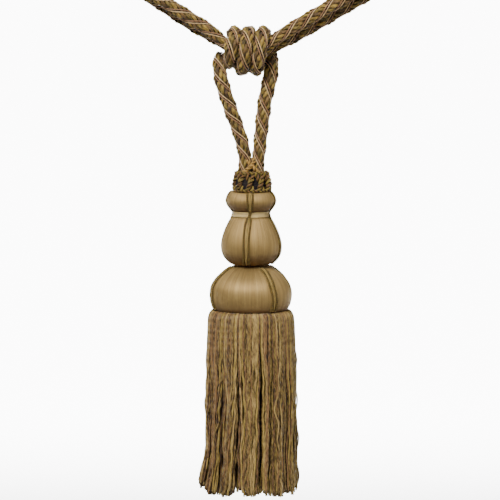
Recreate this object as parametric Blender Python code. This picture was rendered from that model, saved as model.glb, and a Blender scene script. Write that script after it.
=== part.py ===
"""A curtain tieback tassel: a doubled rope with a hook eye at each end, and a tassel knotted round it.

Metres, +Z up, -Y is the front. The pieces are modelled about the tassel's own axis, with z = 0 at the
middle of the knot, and hang from one empty that puts the left eye's bearing point at the origin.
Short tables are in millimetres.
"""

import math
import random

import bmesh
import bpy
import numpy as np
from mathutils import Vector

MM = 0.001
GAP = 0.0003  # between pieces that touch

# Rope: three strands, left-handed lay
ROPE_DIAMETER = 0.0107
ROPE_LAY = 0.043  # length of one full turn of a strand
ROPE_STEP = 0.0046  # distance between sections of the swept rope
EASING_STEP = 0.0015
GROOVE_DEPTH = 0.24  # of the rope's radius, between two strands

# Knot: three turns of the tassel rope round the embrace
KNOT_TURNS = 3
KNOT_PITCH = 0.0112
KNOT_FULLNESS = 1.0
KNOT_HALF_HEIGHT = 0.0151  # of the rope's centreline
KNOT_HALF_DEPTH = 0.0173
KNOT_RIGHT_TOP_X = 0.0097  # where the first turn crosses over the top

# Arms of the embrace, measured from the knot's middle
ARM_RISE_LEFT = math.radians(32)
ARM_RISE_RIGHT = math.radians(30)
EYE_ROOT_LEFT = (-0.0712, 0.0393)  # x, z of the arm's middle line, just before its whipping
EYE_ROOT_RIGHT = (0.0766, 0.0393)
WHIPPING_START_LEFT = 0.012  # along the arm from the root
WHIPPING_START_RIGHT = 0.016
WHIPPING_LENGTH = 0.009
WHIPPING_WALL = 0.0013
EYE_BEND_RADIUS = 0.0214  # two rope diameters
EYE_TAPER = 0.052  # from the whipping to the middle of the bend

# Tassel head and moulds
MOULD_SEGMENTS = 36
RUFF_TOP_Z = -0.0933
RUFF_BASE_Z = -0.1093
RUFF_CORDS = 10
RUFF_SEGMENTS = 50
RUFF_HOLE_HALF_WIDTH = 0.0115
RUFF_HOLE_HALF_DEPTH = 0.0058
RUFF_RELIEF = 0.0011
RUFF_HALF_WAVES = 1.6  # of each plaited cord from the ruff's top to its base

# Gimp: a flat trim of two fine cords beside a raised middle one
GIMP_HEIGHT = 0.0010
VASE_GIMP_AZIMUTHS = (-9, 79, 171, 248)  # degrees from the front, towards +X
DOME_GIMP_AZIMUTHS = (35, 118, 204, 291)

# Skirt
HEADING_TOP_Z = -0.2022
HEADING_BASE_Z = -0.2080
SKIRT_DROP = 0.1370  # from the heading's base to the mean tip
LOCK_SECTIONS = 6
LOCK_GAPS = (
    # azimuth from the front towards +X and half of the gap that opens there, in radians
    (-2.95, 0.030),
    (-2.45, 0.040),
    (-2.00, 0.035),
    (-1.55, 0.040),
    (-1.12, 0.030),
    (-0.72, 0.035),
    (-0.315, 0.045),
    (0.235, 0.055),
    (0.46, 0.020),
    (0.93, 0.030),
    (1.38, 0.035),
    (1.86, 0.040),
    (2.35, 0.035),
    (2.85, 0.040),
)

random.seed(7)

for old in list(bpy.data.objects):
    bpy.data.objects.remove(old, do_unlink=True)


# ---------------------------------------------------------------- common tools

def material(name, colour, roughness):
    """A plain Principled material."""
    made = bpy.data.materials.new(name)
    made.use_nodes = True
    shader = made.node_tree.nodes["Principled BSDF"]
    shader.inputs["Base Color"].default_value = (*colour, 1)
    shader.inputs["Roughness"].default_value = roughness
    shader.inputs["Metallic"].default_value = 0
    return made


ROPE_YARN = material("rope_yarn", (0.26, 0.17, 0.06), 0.7)
WHIPPING_THREAD = material("whipping_thread", (0.20, 0.13, 0.05), 0.7)
RUFF_CORD = material("ruff_cord", (0.15, 0.11, 0.04), 0.75)
SATIN_FLOSS = material("satin_floss", (0.42, 0.31, 0.17), 0.42)
GIMP_CORD = material("gimp_cord", (0.24, 0.16, 0.05), 0.6)
FRINGE_YARN = material("fringe_yarn", (0.30, 0.20, 0.09), 0.65)

hang = bpy.data.objects.new("hang_frame", None)
bpy.context.scene.collection.objects.link(hang)


def add_object(name, mesh_builder, finish, smooth_angle=40):
    """Turns a bmesh into a named object that hangs from the common empty."""
    bmesh.ops.recalc_face_normals(mesh_builder, faces=mesh_builder.faces)
    if mesh_builder.calc_volume(signed=True) < 0:
        bmesh.ops.reverse_faces(mesh_builder, faces=mesh_builder.faces)
    mesh = bpy.data.meshes.new(name)
    mesh_builder.to_mesh(mesh)
    mesh_builder.free()
    mesh.materials.append(finish)
    mesh.shade_smooth()
    mesh.set_sharp_from_angle(angle=math.radians(smooth_angle))
    made = bpy.data.objects.new(name, mesh)
    bpy.context.scene.collection.objects.link(made)
    made.parent = hang
    return made


def add_ring(bm, points):
    return [bm.verts.new(point) for point in points]


def join_rings(bm, ring_a, ring_b):
    """Quads between two rings of the same count."""
    count = len(ring_a)
    for i in range(count):
        j = (i + 1) % count
        bm.faces.new((ring_a[i], ring_a[j], ring_b[j], ring_b[i]))


def cap_ring(bm, ring, apex):
    """Triangles from a ring to one point."""
    middle = bm.verts.new(apex)
    for i in range(len(ring)):
        bm.faces.new((ring[i], ring[(i + 1) % len(ring)], middle))


def join_uneven_rings(bm, ring_a, ring_b, angles_a, angles_b):
    """Triangles between two rings whose counts differ, walked round by angle."""
    i, j = 0, 0
    while i < len(ring_a) or j < len(ring_b):
        next_a = angles_a[i + 1] if i + 1 < len(ring_a) else angles_a[0] + math.tau
        next_b = angles_b[j + 1] if j + 1 < len(ring_b) else angles_b[0] + math.tau
        here_a = ring_a[i % len(ring_a)]
        here_b = ring_b[j % len(ring_b)]
        if j >= len(ring_b) or (i < len(ring_a) and next_a <= next_b):
            i += 1
            bm.faces.new((here_a, ring_a[i % len(ring_a)], here_b))
        else:
            j += 1
            bm.faces.new((here_a, ring_b[j % len(ring_b)], here_b))


def smooth_curve(points, samples_per_span=16):
    """A Catmull-Rom curve through rows of numbers, spaced by chord length."""
    rows = np.array(points, float)
    rows = np.vstack([2 * rows[0] - rows[1], rows, 2 * rows[-1] - rows[-2]])
    steps = np.linalg.norm(np.diff(rows[:, :3], axis=0), axis=1) ** 0.5
    knots = np.concatenate([[0], np.cumsum(steps)])
    out = []
    for k in range(1, len(rows) - 2):
        t0, t1, t2, t3 = knots[k - 1:k + 3]
        p0, p1, p2, p3 = rows[k - 1:k + 3]
        for t in np.linspace(t1, t2, samples_per_span, endpoint=False):
            a1 = (t1 - t) / (t1 - t0) * p0 + (t - t0) / (t1 - t0) * p1
            a2 = (t2 - t) / (t2 - t1) * p1 + (t - t1) / (t2 - t1) * p2
            a3 = (t3 - t) / (t3 - t2) * p2 + (t - t2) / (t3 - t2) * p3
            b1 = (t2 - t) / (t2 - t0) * a1 + (t - t0) / (t2 - t0) * a2
            b2 = (t3 - t) / (t3 - t1) * a2 + (t - t1) / (t3 - t1) * a3
            out.append((t2 - t) / (t2 - t1) * b1 + (t - t1) / (t2 - t1) * b2)
    out.append(rows[-2])
    return np.array(out)


def eased(rows, passes=6):
    """The same curve with its tightest places eased, its ends kept."""
    for _ in range(passes):
        rows[1:-1] = (rows[:-2] + 2 * rows[1:-1] + rows[2:]) / 4
    return rows


def even_steps(rows, step):
    """The same curve with points about one step apart along its length."""
    lengths = np.linalg.norm(np.diff(rows[:, :3], axis=0), axis=1)
    along = np.concatenate([[0], np.cumsum(lengths)])
    count = max(2, round(along[-1] / step) + 1)
    wanted = np.linspace(0, along[-1], count)
    return np.stack([np.interp(wanted, along, column) for column in rows.T], 1), wanted


# ---------------------------------------------------------------- ropes

def rope(name, route):
    """Sweeps the three-strand section along rows of x, y, z, fullness, twisting as it goes."""
    rows, _ = even_steps(smooth_curve(route), EASING_STEP)
    rows, along = even_steps(eased(rows), ROPE_STEP)
    centres = [Vector(row[:3]) for row in rows]
    radius = ROPE_DIAMETER / 2
    section = []
    for strand in range(3):
        for turn, reach in ((-20, 1.0), (20, 1.0), (60, 1.0 - GROOVE_DEPTH)):
            section.append((math.radians(strand * 120 + turn), reach * radius))
    bm = bmesh.new()
    side = None
    previous = None
    for k, centre in enumerate(centres):
        ahead = centres[min(k + 1, len(centres) - 1)]
        behind = centres[max(k - 1, 0)]
        tangent = (ahead - behind).normalized()
        if side is None:
            side = tangent.orthogonal().normalized()
        else:
            side = (side - tangent * side.dot(tangent)).normalized()
        across = tangent.cross(side)
        twist = -math.tau * along[k] / ROPE_LAY
        fullness = float(rows[k][3])
        ring = add_ring(bm, [
            centre + fullness * reach * (side * math.cos(angle + twist) + across * math.sin(angle + twist))
            for angle, reach in section
        ])
        if previous is None:
            cap_ring(bm, ring, centre)
        else:
            join_rings(bm, previous, ring)
        previous = ring
    cap_ring(bm, previous, centres[-1])
    bmesh.ops.triangulate(bm, faces=bm.faces)
    return add_object(name, bm, ROPE_YARN, 60)


def in_metres(table):
    """Rows of x, y, z in millimetres and fullness, as metres and fullness."""
    return [(x * MM, y * MM, z * MM, fullness) for x, y, z, fullness in table]


def tassel_route():
    """From the head up the right leg, behind the embrace, three turns leftwards, and down the left leg."""
    right_leg = in_metres((
        # x, y, z, fullness
        (5.5, 0, -109.3, 0.92),
        (5.4, 0, -101.0, 0.92),
        (5.35, 0, -92.0, 0.92),
        (6.3, 0, -81.0, 0.96),
        (8.2, 0, -60.4, 1),
        (9.0, 0, -51.8, 1),
        (10.8, 0, -37.3, 1),
        (14.4, 0.3, -24.5, 1),
        (16.8, 3.0, -16.0, 1),
        (17.4, 8.8, -9.4, 0.98),
        (16.2, 14.6, -3.6, 0.97),
        (13.6, 17.2, 3.6, 0.97),
    ))
    turns = []
    per_turn = 8
    first, last = -1, per_turn * (KNOT_TURNS - 1) + 2
    for k in range(first, last + 1):
        turn = k / per_turn
        turns.append((
            KNOT_RIGHT_TOP_X - KNOT_PITCH * turn,
            -KNOT_HALF_DEPTH * math.sin(math.tau * turn),
            KNOT_HALF_HEIGHT * math.cos(math.tau * turn),
            KNOT_FULLNESS,
        ))
    left_leg = in_metres((
        # x, y, z, fullness
        (-16.2, -14.6, -5.4, 0.95),
        (-16.4, -7.0, -8.9, 0.9),
        (-16.7, 2.0, -9.8, 0.84),
        (-18.1, 9.0, -9.9, 0.82),
        (-19.9, 14.8, -9.2, 0.82),
        (-23.2, 17.8, -7.0, 0.82),
        (-26.6, 14.6, -6.2, 0.85),
        (-27.6, 9.4, -9.2, 0.87),
        (-26.7, 4.8, -13.8, 0.91),
        (-24.9, 1.8, -18.6, 0.98),
        (-22.7, 0.5, -24.4, 1),
        (-18.6, 0, -37.3, 1),
        (-13.4, 0, -51.8, 1),
        (-10.1, 0, -60.4, 1),
        (-4.7, 0, -81.0, 0.96),
        (-4.85, 0, -92.0, 0.92),
        (-5.0, 0, -101.0, 0.92),
        (-5.2, 0, -109.3, 0.92),
    ))
    return right_leg + turns + left_leg


class Arm:
    """One arm of the doubled rope past the knot: its middle line and the pair's offset across it."""

    def __init__(self, side, root, rise, front_lift, front_depth, whipping_start):
        self.along = Vector((side * math.cos(rise), 0, math.sin(rise)))
        lift = Vector((-side * math.sin(rise), 0, math.cos(rise)))
        self.root = Vector((root[0], 0, root[1]))
        self.to_front = (lift * front_lift - Vector((0, front_depth, 0))) / 2
        self.whipping_start = whipping_start
        self.eye_start = whipping_start + WHIPPING_LENGTH

    def place(self, distance, spread):
        """A point at a distance along the arm, and off its middle line towards the front run."""
        return self.root + self.along * distance + self.to_front.normalized() * spread

    def run(self, sign):
        """The straight run's two points at the whipping, for the front (+1) or rear (-1) rope."""
        spread = sign * self.to_front.length
        return [self.place(d, spread) for d in (0, self.whipping_start, self.eye_start)]

    def eye(self):
        """The teardrop bight, from the rear run round to the front run."""
        half_pair = self.to_front.length
        opening = EYE_BEND_RADIUS - half_pair
        rear = []
        for share in (0.25, 0.5, 0.75):
            swell = 3 * share ** 2 - 2 * share ** 3
            rear.append((self.eye_start + share * EYE_TAPER, -half_pair - swell * opening))
        centre = self.eye_start + EYE_TAPER
        bend = []
        for k in range(7):
            angle = math.pi * (k / 6 - 0.5)
            bend.append((centre + EYE_BEND_RADIUS * math.cos(angle), EYE_BEND_RADIUS * math.sin(angle)))
        front = [(distance, -spread) for distance, spread in reversed(rear)]
        return [self.place(distance, spread) for distance, spread in rear + bend + front]

    def bearing_point(self):
        """The inside of the bight, where a hook bears."""
        return self.place(self.eye_start + EYE_TAPER + EYE_BEND_RADIUS - ROPE_DIAMETER / 2, 0)


LEFT_ARM = Arm(-1, EYE_ROOT_LEFT, ARM_RISE_LEFT, 0.0034, 0.0106, WHIPPING_START_LEFT)
RIGHT_ARM = Arm(1, EYE_ROOT_RIGHT, ARM_RISE_RIGHT, 0.0064, 0.0092, WHIPPING_START_RIGHT)


def embrace_route():
    """One rope: rear run to the right eye, front run back to the left eye, its ends butted in the whipping."""
    rear_knot = in_metres((
        # x, y, z, fullness
        (-47.4, 5.2, 21.4, 1),
        (-30.3, 5.3, 11.3, 0.98),
        (-21.7, 5.8, 6.1, 0.88),
        (-14.7, 5.5, 1.6, 0.83),
        (-7.6, 4.9, -1.0, 0.82),
        (0.2, 4.8, -2.1, 0.82),
        (7.2, 4.7, -1.6, 0.82),
        (13.4, 4.8, 0.5, 0.84),
        (20.4, 4.7, 4.3, 0.93),
        (38.4, 4.4, 13.6, 1),
    ))
    front_knot = in_metres((
        # x, y, z, fullness
        (38.4, -4.5, 21.2, 1),
        (20.4, -4.3, 10.1, 0.9),
        (13.4, -3.7, 4.8, 0.81),
        (7.2, -3.4, 3.3, 0.81),
        (0.2, -3.2, 2.8, 0.81),
        (-7.6, -3.4, 3.0, 0.81),
        (-14.7, -3.5, 3.7, 0.81),
        (-21.7, -4.0, 7.1, 0.83),
        (-30.3, -5.3, 14.9, 0.97),
        (-47.4, -5.3, 25.6, 1),
    ))
    half_whipping = WHIPPING_LENGTH / 2 - 0.0004
    butt = WHIPPING_START_LEFT + half_whipping
    start = LEFT_ARM.place(butt, -LEFT_ARM.to_front.length)
    finish = LEFT_ARM.place(butt + 0.0008, -LEFT_ARM.to_front.length)
    left_eye = [(*point, 1) for point in reversed(LEFT_ARM.eye())]
    right_eye = [(*point, 1) for point in RIGHT_ARM.eye()]
    rear_left = [(*point, 1) for point in (start, LEFT_ARM.run(-1)[0])]
    rear_right = [(*point, 1) for point in RIGHT_ARM.run(-1)]
    front_right = [(*point, 1) for point in reversed(RIGHT_ARM.run(1))]
    front_left = [(*point, 1) for point in LEFT_ARM.run(1)]
    closing = [(*point, 1) for point in (LEFT_ARM.run(-1)[2], finish)]
    return (rear_left + rear_knot + rear_right + right_eye + front_right
            + front_knot + front_left + left_eye + closing)


def whipping(name, arm):
    """A band of thread bound round both runs at the throat of an eye."""
    reach = arm.to_front.length
    inner = ROPE_DIAMETER / 2 + GAP
    outer = inner + WHIPPING_WALL
    across = arm.to_front.normalized()
    other = arm.along.cross(across)

    def oval(distance, radius):
        points = []
        half_ring = 8
        for sign in (1, -1):
            for k in range(half_ring + 1):
                angle = math.pi * (k / half_ring - 0.5)
                centre = arm.place(distance, sign * reach)
                points.append(centre + sign * radius * (across * math.cos(angle) + other * math.sin(angle)))
        return points

    bm = bmesh.new()
    start = arm.whipping_start
    end = arm.eye_start
    bevel = 0.0006
    stations = ((start, inner), (start, outer - bevel), (start + bevel, outer),
                (end - bevel, outer), (end, outer - bevel), (end, inner))
    rings = [add_ring(bm, oval(distance, radius)) for distance, radius in stations]
    for a, b in zip(rings, rings[1:] + rings[:1]):
        join_rings(bm, a, b)
    return add_object(name, bm, WHIPPING_THREAD)


# ---------------------------------------------------------------- moulds

VASE_OUTLINE = (
    # radius, height in mm: bead, waist, bulb
    (15.5, -109.6),
    (17.8, -113.0),
    (18.8, -116.4),
    (18.1, -119.4),
    (16.5, -121.9),
    (13.5, -124.6),
    (12.8, -126.6),
    (13.7, -128.9),
    (15.1, -130.6),
    (18.0, -135.6),
    (21.4, -143.0),
    (23.2, -151.0),
    (22.6, -157.2),
    (20.3, -161.6),
    (16.8, -165.0),
    (12.6, -167.2),
)
DOME_OUTLINE = (
    # radius, height in mm
    (13.4, -167.5),
    (18.0, -169.4),
    (22.6, -172.6),
    (28.1, -178.0),
    (31.3, -183.7),
    (32.3, -189.7),
    (31.7, -195.0),
    (30.3, -199.0),
    (28.4, -201.9),
)


def outline_rows(outline):
    return [(radius * MM, height * MM) for radius, height in outline]


def turned(name, rows, finish, segments):
    """A closed form turned about the tassel's axis, its rows from top to bottom."""
    bm = bmesh.new()
    rings = []
    for radius, height in rows:
        rings.append(add_ring(bm, [
            (radius * math.cos(math.tau * k / segments), radius * math.sin(math.tau * k / segments), height)
            for k in range(segments)
        ]))
    for upper, lower in zip(rings, rings[1:]):
        join_rings(bm, upper, lower)
    cap_ring(bm, rings[0], (0, 0, rows[0][1]))
    cap_ring(bm, rings[-1], (0, 0, rows[-1][1]))
    return add_object(name, bm, finish)


WAIST_BAND = (
    # inner radius, outer radius, height in mm
    (14.1, 14.6, -124.4),
    (13.2, 14.0, -126.6),
    (14.05, 14.6, -128.7),
)


def waist_binding():
    """A narrow satin band laid round the waist of the vase."""
    bm = bmesh.new()
    outer = [(row[1] * MM, row[2] * MM) for row in WAIST_BAND]
    inner = [(row[0] * MM, row[2] * MM) for row in reversed(WAIST_BAND)]
    rings = []
    for radius, height in outer + inner:
        rings.append(add_ring(bm, [
            (radius * math.cos(math.tau * k / MOULD_SEGMENTS), radius * math.sin(math.tau * k / MOULD_SEGMENTS),
             height) for k in range(MOULD_SEGMENTS)
        ]))
    for a, b in zip(rings, rings[1:] + rings[:1]):
        join_rings(bm, a, b)
    return add_object("waist_binding", bm, SATIN_FLOSS)


VASE_GIMP_LINE = (
    # radius, height, width in mm, turn in degrees: over the bead, pinched at the waist, over the bulb
    (15.5, -109.7, 5.0, 7),
    (17.8, -113.0, 5.0, 7),
    (18.8, -116.4, 5.0, 7),
    (18.1, -119.4, 4.8, 7),
    (16.5, -121.9, 4.2, 7),
    (14.6, -124.4, 3.0, 7),
    (14.05, -126.6, 2.6, 6),
    (14.65, -128.7, 3.2, 4),
    (15.2, -130.6, 4.2, 3),
    (18.0, -135.6, 5.0, 1),
    (21.4, -143.0, 5.0, 0),
    (23.2, -151.0, 5.0, 0),
    (22.6, -157.2, 5.0, 0),
    (20.3, -161.6, 5.0, -1),
    (16.8, -165.0, 4.8, -3),
)
DOME_GIMP_LINE = (
    # radius, height, width in mm, turn in degrees
    (15.8, -168.5, 4.8, -3),
    (18.0, -169.4, 5.0, -2),
    (22.6, -172.6, 5.0, -1),
    (28.1, -178.0, 5.0, -2),
    (31.3, -183.7, 5.0, -2),
    (32.3, -189.7, 5.0, 0),
    (31.7, -195.0, 5.0, 0),
    (30.3, -199.0, 5.0, 0),
    (29.3, -200.6, 5.0, 0),
)


def gimp(name, azimuth, line):
    """A strip laid down a mould's outline from one azimuth, its three cords raised in the section."""
    up = Vector((0, 0, 1))
    bm = bmesh.new()
    previous = None
    for k, (radius, height, width, turn) in enumerate(line):
        angle = math.radians(azimuth + turn)
        outward = Vector((math.sin(angle), -math.cos(angle), 0))
        sideways = Vector((math.cos(angle), math.sin(angle), 0))
        before = line[max(k - 1, 0)]
        after = line[min(k + 1, len(line) - 1)]
        slope = Vector((after[0] - before[0], after[1] - before[1])).normalized()
        normal = outward * -slope.y + up * slope.x
        base = outward * (radius * MM) + up * (height * MM) + normal * GAP
        half = width * MM / 2
        section = ((-1, 0), (-0.85, 0.75), (-0.3, 0.6), (0, 1), (0.3, 0.6), (0.85, 0.75), (1, 0))
        ring = []
        for across, rise in section:
            fall = (across * half) ** 2 / (2 * radius * MM)  # the mould falls away at the strip's edges
            ring.append(base + sideways * (across * half) - outward * fall + normal * (rise * GIMP_HEIGHT))
        ring = add_ring(bm, ring)
        if previous is None:
            bm.faces.new(ring)
        else:
            join_rings(bm, previous, ring)
        previous = ring
    bm.faces.new(previous)
    bmesh.ops.triangulate(bm, faces=bm.faces)
    return add_object(name, bm, GIMP_CORD)


def gimps():
    """Four gimps down the vase and four down the dome."""
    for number, azimuth in enumerate(VASE_GIMP_AZIMUTHS, 1):
        gimp(f"vase_gimp_{number}", azimuth, VASE_GIMP_LINE)
    for number, azimuth in enumerate(DOME_GIMP_AZIMUTHS, 1):
        gimp(f"dome_gimp_{number}", azimuth, DOME_GIMP_LINE)


# ---------------------------------------------------------------- ruff

RUFF_OUTLINE = (
    # radius, height in mm
    (12.9, -93.3),
    (13.8, -94.6),
    (14.0, -97.4),
    (14.3, -100.2),
    (14.8, -103.0),
    (15.4, -105.8),
    (15.3, -108.2),
    (14.3, -109.3),
)


def ruff():
    """A collar of plaited cords: ridges that cross each other round a ring with room for both legs."""
    bm = bmesh.new()
    rings = []
    angles = [math.tau * k / RUFF_SEGMENTS for k in range(RUFF_SEGMENTS)]
    lean = math.pi * RUFF_HALF_WAVES / (RUFF_TOP_Z - RUFF_BASE_Z)
    for radius, height in outline_rows(RUFF_OUTLINE):
        points = []
        for angle in angles:
            rising = math.cos(RUFF_CORDS * angle - lean * height)
            falling = math.cos(RUFF_CORDS * angle + lean * height)
            reach = radius + RUFF_RELIEF * max(rising, falling)
            points.append((reach * math.cos(angle), reach * math.sin(angle), height))
        rings.append(add_ring(bm, points))
    for height in (RUFF_BASE_Z, RUFF_TOP_Z):
        points = []
        for angle in angles:
            wide = math.cos(angle) / RUFF_HOLE_HALF_WIDTH
            deep = math.sin(angle) / RUFF_HOLE_HALF_DEPTH
            reach = (abs(wide) ** 3 + abs(deep) ** 3) ** (-1 / 3)
            points.append((reach * math.cos(angle), reach * math.sin(angle), height))
        rings.append(add_ring(bm, points))
    for a, b in zip(rings, rings[1:] + rings[:1]):
        join_rings(bm, a, b)
    bmesh.ops.triangulate(bm, faces=bm.faces)
    return add_object("ruff", bm, RUFF_CORD)


# ---------------------------------------------------------------- skirt

HEADING_OUTLINE = (
    # radius, height in mm
    (29.0, -202.2),
    (31.0, -203.3),
    (32.4, -205.4),
    (33.2, -208.0),
)
HEADING_FLUTE = 0.0005  # rise of each outer lock's rib over the heading, and fall between
LOCK_BANDS = (
    # strands, outer radius, inner radius in mm
    (60, 33.2, 27.8),
    (42, 26.6, 21.2),
    (28, 20.0, 13.6),
)
SKIRT_SPREAD = (
    # share of the drop, radius as a share of the root radius
    (0.0, 1.0),
    (0.07, 1.015),
    (0.25, 1.04),
    (0.6, 1.055),
    (0.8, 1.06),
    (1.0, 1.07),
)


def spread_at(share):
    shares = [row[0] for row in SKIRT_SPREAD]
    spreads = [row[1] for row in SKIRT_SPREAD]
    return float(np.interp(share, shares, spreads))


def lock_at(angle):
    """A strand's phase in its lock, half a turn at the gaps, and how far it ends up from its root's azimuth."""
    edges = (*LOCK_GAPS, (LOCK_GAPS[0][0] + math.tau, LOCK_GAPS[0][1]))
    azimuth = (angle + math.pi / 2 - edges[0][0]) % math.tau + edges[0][0]
    for (low, low_half), (high, high_half) in zip(edges, edges[1:]):
        if azimuth <= high:
            across = (azimuth - low) / (high - low)
            return math.tau * (across - 0.5), low_half * (1 - across) - high_half * across


def lock_angle(angle, share):
    """Where a strand that starts at one azimuth hangs, gathered in locks and swaying with its neighbours."""
    loose = min(1, share * 3)
    opening = min(1, max(0, (share - 0.12) / 0.4))
    sway = 0.018 * math.sin(7.5 * share + 2 * math.sin(angle)) * loose
    sway += 0.012 * math.sin(15 * share + 3 * math.sin(2 * angle + 1)) * loose
    return angle + lock_at(angle)[1] * opening + sway


def lock_radius(radius, angle, share):
    """The hanging radius: locks stand out, gaps fall back, and the left edge flares near its tips."""
    loose = min(1, share * 3)
    wave = 1 + 0.010 * math.sin(9 * share + 5 * angle) * loose
    wave += 0.022 * math.cos(lock_at(angle)[0]) * loose
    flare = 0.14 * max(0, -math.cos(angle)) ** 6 * max(0, share - 0.75) / 0.25
    return radius * (spread_at(share) * wave + flare)


def strand(bm, root, angle, half_angle, outer, inner, drop):
    """One three-sided lock that hangs from three verts of the heading."""
    previous = root
    lean = random.uniform(-0.25, 0.25) * half_angle
    for k in range(1, LOCK_SECTIONS + 1):
        share = k / LOCK_SECTIONS
        middle = lock_angle(angle, share) + lean * math.sin(math.pi * share)
        width = (lock_angle(angle + half_angle, share) - lock_angle(angle - half_angle, share)) / 2
        width = min(width, half_angle * 1.15)
        height = HEADING_BASE_Z - drop * share
        if k == LOCK_SECTIONS:
            width *= 0.75
        ring = []
        for offset, radius in ((-width, outer), (width, outer), (0, inner)):
            reach = lock_radius(radius, angle, share)
            ring.append(bm.verts.new((
                reach * math.cos(middle + offset), reach * math.sin(middle + offset), height)))
        for a in range(3):
            b = (a + 1) % 3
            bm.faces.new((previous[a], previous[b], ring[b], ring[a]))
        previous = ring
    bm.faces.new(previous)


def skirt():
    """The heading and the locks that hang from its base, in three bands one inside another."""
    bm = bmesh.new()

    def circle(radius, height, angles, flute=0.0):
        points = []
        for k, angle in enumerate(angles):
            reach = radius + (flute if k % 2 else -flute)
            points.append((reach * math.cos(angle), reach * math.sin(angle), height))
        return add_ring(bm, points)

    ribs = 2 * LOCK_BANDS[0][0]
    angles = [math.tau * k / ribs for k in range(ribs)]
    rings = []
    for radius, height in outline_rows(HEADING_OUTLINE):
        rings.append(circle(radius, height, angles, HEADING_FLUTE))
    for upper, lower in zip(rings, rings[1:]):
        join_rings(bm, upper, lower)
    cap_ring(bm, rings[0], (0, 0, HEADING_TOP_Z))
    edge, edge_angles = rings[-1], angles
    height = HEADING_BASE_Z
    for band, (strands, outer_mm, inner_mm) in enumerate(LOCK_BANDS):
        outer, inner = outer_mm * MM, inner_mm * MM
        angles = [math.tau * k / strands for k in range(strands)]
        half = math.pi / strands
        inner_ring = circle(inner, height, angles)
        if band == 0:
            outer_ring = edge[::2]
            ribs_ring = edge[1::2]
        else:
            outer_ring = circle(outer, height, angles)
            join_uneven_rings(bm, edge, outer_ring, edge_angles, angles)
            ribs_ring = None
        for k in range(strands):
            n = (k + 1) % strands
            middle = angles[k] + half
            half_lock = half * 0.80
            thick_outer = outer - 0.0006
            thick_inner = inner + 0.0010
            root = [
                bm.verts.new((thick_outer * math.cos(middle + d), thick_outer * math.sin(middle + d), height))
                for d in (-half_lock, half_lock)
            ]
            root.append(bm.verts.new((thick_inner * math.cos(middle), thick_inner * math.sin(middle), height)))
            a, b, c, d = outer_ring[k], outer_ring[n], inner_ring[n], inner_ring[k]
            rim = (a, ribs_ring[k], b) if ribs_ring else (a, b)
            bm.faces.new((*rim, root[1], root[0]))
            bm.faces.new((b, c, root[2], root[1]))
            bm.faces.new((c, d, root[2]))
            bm.faces.new((d, a, root[0], root[2]))
            drop = SKIRT_DROP * random.uniform(0.97, 1.01)
            strand(bm, root, middle, half_lock, thick_outer, thick_inner, drop)
        edge, edge_angles = inner_ring, angles
    cap_ring(bm, edge, (0, 0, HEADING_BASE_Z))
    bmesh.ops.triangulate(bm, faces=bm.faces)
    return add_object("skirt", bm, FRINGE_YARN)


# ---------------------------------------------------------------- assembly

rope("embrace_rope", embrace_route())
rope("tassel_rope", tassel_route())
whipping("left_eye_whipping", LEFT_ARM)
whipping("right_eye_whipping", RIGHT_ARM)
ruff()
turned("vase_mould", outline_rows(VASE_OUTLINE), SATIN_FLOSS, MOULD_SEGMENTS)
waist_binding()
turned("dome_mould", outline_rows(DOME_OUTLINE), SATIN_FLOSS, MOULD_SEGMENTS)
gimps()
skirt()
hang.location = -LEFT_ARM.bearing_point()
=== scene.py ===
"""Finishes a curtain tieback tassel: yarn, floss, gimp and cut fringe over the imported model."""

import math

import bpy
import numpy as np
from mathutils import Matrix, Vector


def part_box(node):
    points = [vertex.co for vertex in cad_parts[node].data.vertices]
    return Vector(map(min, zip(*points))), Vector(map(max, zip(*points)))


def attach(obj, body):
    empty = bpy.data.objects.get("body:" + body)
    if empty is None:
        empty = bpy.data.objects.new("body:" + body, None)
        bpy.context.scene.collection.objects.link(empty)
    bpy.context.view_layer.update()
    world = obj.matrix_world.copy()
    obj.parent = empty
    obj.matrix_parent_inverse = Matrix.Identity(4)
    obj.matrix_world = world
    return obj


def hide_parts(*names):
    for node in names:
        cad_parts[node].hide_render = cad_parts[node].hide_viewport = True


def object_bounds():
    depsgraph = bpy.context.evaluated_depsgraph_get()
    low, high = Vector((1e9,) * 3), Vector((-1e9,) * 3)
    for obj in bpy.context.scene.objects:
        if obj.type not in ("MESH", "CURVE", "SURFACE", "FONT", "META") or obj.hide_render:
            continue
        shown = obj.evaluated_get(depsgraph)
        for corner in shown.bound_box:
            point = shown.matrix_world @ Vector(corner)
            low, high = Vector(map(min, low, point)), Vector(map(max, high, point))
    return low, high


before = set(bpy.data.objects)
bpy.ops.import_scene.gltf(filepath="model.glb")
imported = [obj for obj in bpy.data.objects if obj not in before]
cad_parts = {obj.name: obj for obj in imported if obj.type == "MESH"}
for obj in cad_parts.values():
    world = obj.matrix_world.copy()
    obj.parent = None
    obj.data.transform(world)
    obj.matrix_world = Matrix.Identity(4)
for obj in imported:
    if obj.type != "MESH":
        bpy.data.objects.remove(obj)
model_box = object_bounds()

# ---------------------------------------------------------------- camera, light and floor
# The tieback hangs from two hook eyes, so nothing stands on the floor, which lies well below the
# tips. The camera looks from slightly above, through a long lens, at the tassel's whole drop.

MM = 0.001  # a millimetre in metres
KNOT_ABOVE_VASE = 109.6 * MM
vase_low, vase_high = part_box("vase_mould")
KNOT = Vector(((vase_low.x + vase_high.x) / 2, 0, vase_high.z + KNOT_ABOVE_VASE))  # the knot's middle

VIEW_WIDTH = 0.39  # metres across the view at the tassel
VIEW_MIDDLE = KNOT + Vector((-0.0006, 0, -0.1553))
CAMERA_DISTANCE = 2.6
CAMERA_RISE = math.radians(6)
SENSOR_WIDTH = 36  # mm

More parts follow.
